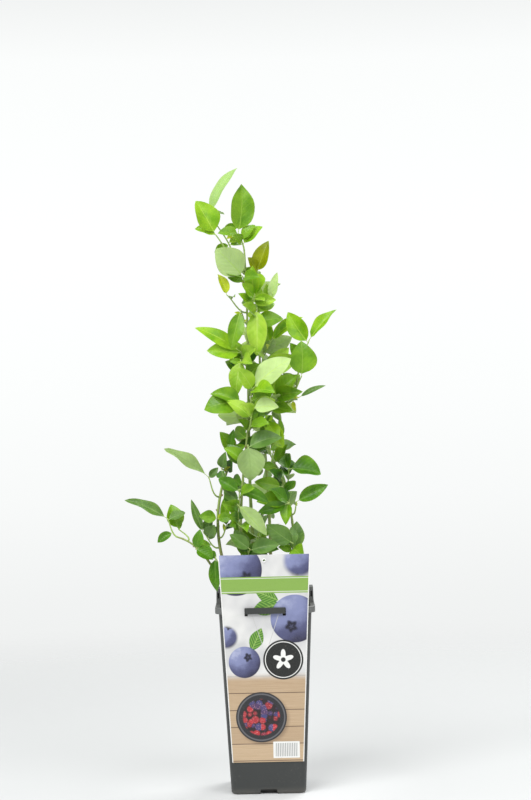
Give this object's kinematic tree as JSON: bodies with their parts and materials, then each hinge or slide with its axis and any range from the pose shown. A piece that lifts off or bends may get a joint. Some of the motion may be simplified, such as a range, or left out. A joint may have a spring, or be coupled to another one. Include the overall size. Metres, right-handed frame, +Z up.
{
  "type": "blueberry bush in a pot",
  "caption": "Young blueberry bush of slim upright stems with leafy sprigs, growing in a tall square plastic pot with a printed card held on its front.",
  "frame": {"origin": "middle of the pot's flat underside, where it stands", "axes": "+Z up, the pot's front with its card faces -Y, +X to the right of the front view"},
  "size_m": [0.2202, 0.144, 0.6491],
  "materials": {
    "pot": "satin dark grey plastic",
    "soil": "crumbly moist potting mix",
    "card": "glossy printed plastic card",
    "bark": "smooth green-brown young bark",
    "leaf": "smooth leathery green leaf"
  },
  "bodies": {
    "root": {"pot": "pot", "soil": "soil", "label_card": "card", "stem_left": "bark", "stem_center": "bark", "stem_front": "bark", "stem_right": "bark", "stem_back": "bark", "stem_low_left": "bark", "bough_top_left": "bark", "bough_right": "bark", "sprig_crown_left": "leaf", "sprig_crown_tip": "leaf", "sprig_crown_top": "leaf", "sprig_crown_low": "leaf", "sprig_crown_right": "leaf", "sprig_upper_left": "leaf", "sprig_upper_drop": "leaf", "sprig_upper_right": "leaf", "sprig_upper_mid": "leaf", "sprig_upper_hang": "leaf", "sprig_mid_left": "leaf", "sprig_mid_drop": "leaf", "sprig_mid_low_left": "leaf", "sprig_mid_center": "leaf", "sprig_mid_front": "leaf", "sprig_mid_right": "leaf", "sprig_mid_right_low": "leaf", "sprig_right": "leaf", "sprig_right_inner": "leaf", "sprig_right_front": "leaf", "sprig_right_low": "leaf", "sprig_center_low": "leaf", "sprig_center_deep": "leaf", "sprig_center_high": "leaf", "sprig_front_mid": "leaf", "sprig_low_right": "leaf", "sprig_low_right_side": "leaf", "sprig_left": "leaf", "sprig_left_hang": "leaf", "sprig_left_high": "leaf", "sprig_left_low": "leaf", "sprig_left_side": "leaf", "sprig_left_up": "leaf", "sprig_branch_tip": "leaf", "sprig_branch_top": "leaf", "sprig_branch_mid": "leaf", "sprig_branch_low": "leaf", "sprig_front_low": "leaf", "sprig_front_drop": "leaf", "sprig_front_right": "leaf", "sprig_front_high": "leaf", "sprig_base_right": "leaf", "sprig_base_left": "leaf", "sprig_base_mid": "leaf", "sprig_back_low": "leaf", "sprig_back_side": "leaf", "sprig_back_right": "leaf", "sprig_back_left": "leaf", "sprig_back_high": "leaf"}
  },
  "joints": []
}
